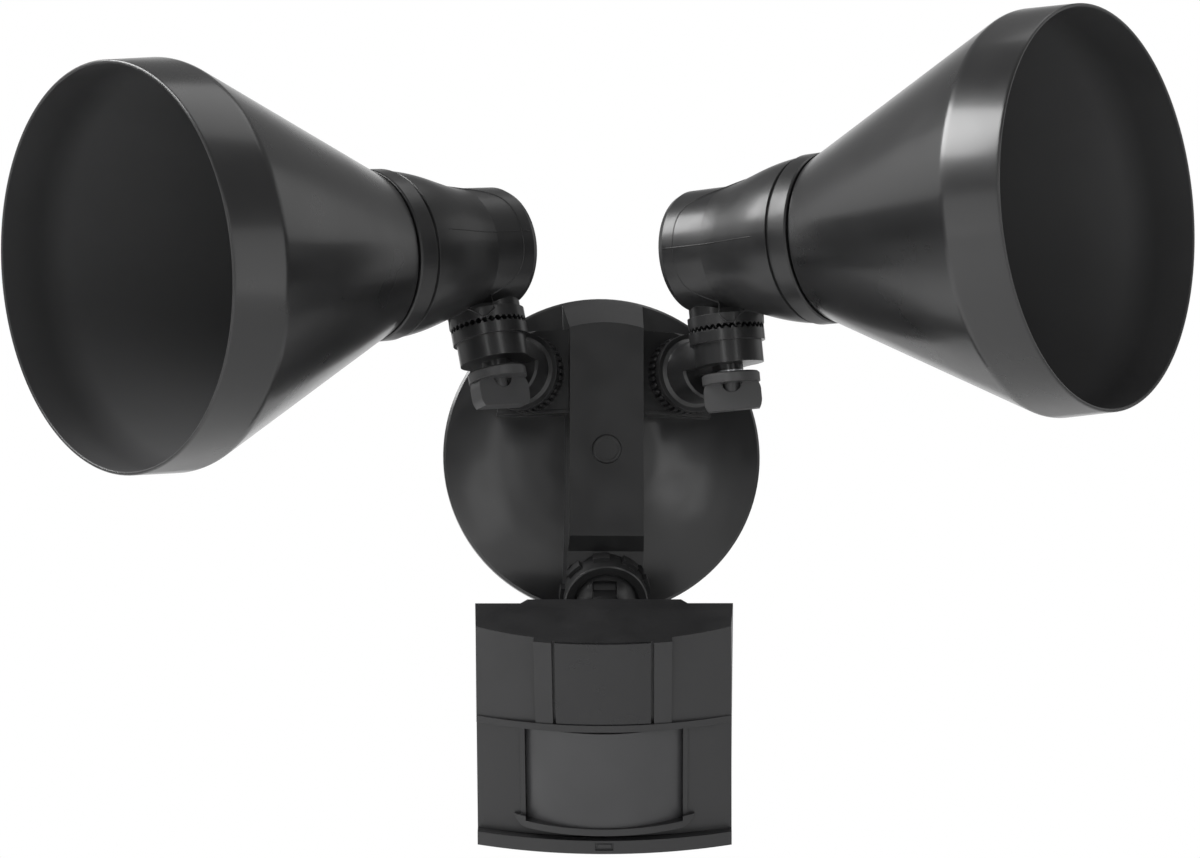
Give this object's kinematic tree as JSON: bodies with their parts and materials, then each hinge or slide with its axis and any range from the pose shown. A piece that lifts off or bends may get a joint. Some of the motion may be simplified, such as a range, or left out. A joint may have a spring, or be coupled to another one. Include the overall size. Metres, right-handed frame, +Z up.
{
  "type": "motion sensor security light",
  "caption": "Wall security light: round canopy with a spine, adjustable cone-shade lamps on toothed wing-screw knuckles, and a ball-jointed infrared motion sensor below.",
  "frame": {"origin": "centre of the mounting strap's back face, on the wall plane, at the middle of the round canopy", "axes": "+X to the right seen from the front, -Y out of the wall towards the viewer, +Z up"},
  "size_m": [0.3937, 0.1983, 0.2698],
  "materials": {
    "black_cast": "satin",
    "black_sheet": "satin",
    "black_plastic": "satin",
    "dark_panel": "gloss",
    "wing_face": "satin",
    "lens_white": "translucent satin",
    "foam": "closed-cell foam",
    "plug_rubber": "satin",
    "zinc_steel": "zinc plated",
    "green_screw": "satin",
    "brass": "satin",
    "porcelain": "glazed",
    "nylon": "satin",
    "board_green": "satin",
    "relay_blue": "gloss",
    "can_steel": "satin",
    "cell": "gloss"
  },
  "bodies": {
    "base": {"canopy": "black_cast", "canopy_gasket": "foam", "mounting_strap": "zinc_steel", "mounting_bolt": "zinc_steel", "bolt_plug": "plug_rubber", "ground_screw": "green_screw"},
    "arm_l": {"knuckle_l": "black_cast", "arm_nut_l": "zinc_steel", "arm_washer_l": "zinc_steel"},
    "clamp_l": {"clamp_washer_l": "zinc_steel"},
    "wing_l": {"wing_screw_l": "wing_face"},
    "lamp_l": {"lamp_holder_l": "black_plastic", "stub_insert_l": "brass", "socket_body_l": "porcelain", "screw_shell_l": "brass", "centre_contact_l": "brass", "socket_screws_l": "zinc_steel", "collar_seal_l": "plug_rubber", "shade_l": "black_sheet"},
    "arm_r": {"knuckle_r": "black_cast", "arm_nut_r": "zinc_steel", "arm_washer_r": "zinc_steel"},
    "clamp_r": {"clamp_washer_r": "zinc_steel"},
    "wing_r": {"wing_screw_r": "wing_face"},
    "lamp_r": {"lamp_holder_r": "black_plastic", "stub_insert_r": "brass", "socket_body_r": "porcelain", "screw_shell_r": "brass", "centre_contact_r": "brass", "socket_screws_r": "zinc_steel", "collar_seal_r": "plug_rubber", "shade_r": "black_sheet"},
    "ring": {"lock_ring": "black_plastic"},
    "ball": {"swivel_ball": "black_plastic", "tilt_pin": "zinc_steel"},
    "head": {"sensor_stem": "black_plastic", "stem_nut": "nylon", "sensor_back": "black_plastic", "sensor_front": "black_plastic", "sensor_panel": "dark_panel", "sensor_lens": "lens_white", "lens_frame": "black_plastic", "base_cap": "black_plastic", "circuit_board": "board_green", "heat_detector": "can_steel", "photocell": "cell", "relay": "relay_blue", "case_screws": "zinc_steel"},
    "dial": {"range_dial": "black_plastic"},
    "switch": {"time_switch": "black_plastic"}
  },
  "joints": [
    {"name": "arm_roll_l", "type": "hinge", "parent": "base", "child": "arm_l", "pos_m": [-0.0299, -0.0199, 0.0278], "axis": [-0.3746, -0.9272, 0], "range_deg": [-20, 20]},
    {"name": "lamp_pan_l", "type": "hinge", "parent": "arm_l", "child": "lamp_l", "pos_m": [-0.04095, -0.04725, 0.0278], "axis": [-0.1769, 0.0715, 0.9816], "range_deg": [-24, 24]},
    {"name": "clamp_slide_l", "type": "slide", "parent": "arm_l", "child": "clamp_l", "axis": [0.1769, -0.0715, -0.9816], "range_m": [0, 0.0013]},
    {"name": "wing_turn_l", "type": "hinge", "parent": "clamp_l", "child": "wing_l", "pos_m": [-0.04095, -0.04725, 0.0278], "axis": [0.1769, -0.0715, -0.9816], "range_deg": [0, 360]},
    {"name": "arm_roll_r", "type": "hinge", "parent": "base", "child": "arm_r", "pos_m": [0.0299, -0.0199, 0.0278], "axis": [0.3746, -0.9272, 0], "range_deg": [-20, 20]},
    {"name": "lamp_pan_r", "type": "hinge", "parent": "arm_r", "child": "lamp_r", "pos_m": [0.04095, -0.04725, 0.0278], "axis": [-0.0969, -0.0392, 0.9945], "range_deg": [-24, 24]},
    {"name": "clamp_slide_r", "type": "slide", "parent": "arm_r", "child": "clamp_r", "axis": [0.0969, 0.0392, -0.9945], "range_m": [0, 0.0013]},
    {"name": "wing_turn_r", "type": "hinge", "parent": "clamp_r", "child": "wing_r", "pos_m": [0.04095, -0.04725, 0.0278], "axis": [0.0969, 0.0392, -0.9945], "range_deg": [0, 360]},
    {"name": "ring_turn", "type": "hinge", "parent": "base", "child": "ring", "pos_m": [0, -0.0163, -0.0517], "axis": [0, -0.848, -0.5299], "range_deg": [-10, 60]},
    {"name": "ball_pan", "type": "hinge", "parent": "base", "child": "ball", "pos_m": [0, -0.0163, -0.0517], "axis": [0, 0, 1], "range_deg": [-10, 20]},
    {"name": "sensor_tilt", "type": "hinge", "parent": "ball", "child": "head", "pos_m": [0, -0.0163, -0.0517], "axis": [0.9954, -0.0958, 0], "range_deg": [-15, 4]},
    {"name": "dial_turn", "type": "hinge", "parent": "head", "child": "dial", "pos_m": [-0.01673, -0.0231, -0.13549], "axis": [0.0405, 0.4207, -0.9063], "range_deg": [-135, 135]},
    {"name": "switch_slide", "type": "slide", "parent": "head", "child": "switch", "axis": [0.9954, -0.0958, 0], "range_m": [-0.0045, 0.0045]}
  ],
  "couplings": [
    {"joint": "clamp_slide_l", "follows": "wing_turn_l", "m_per_rad": 0.000202},
    {"joint": "clamp_slide_r", "follows": "wing_turn_r", "m_per_rad": 0.000202}
  ]
}
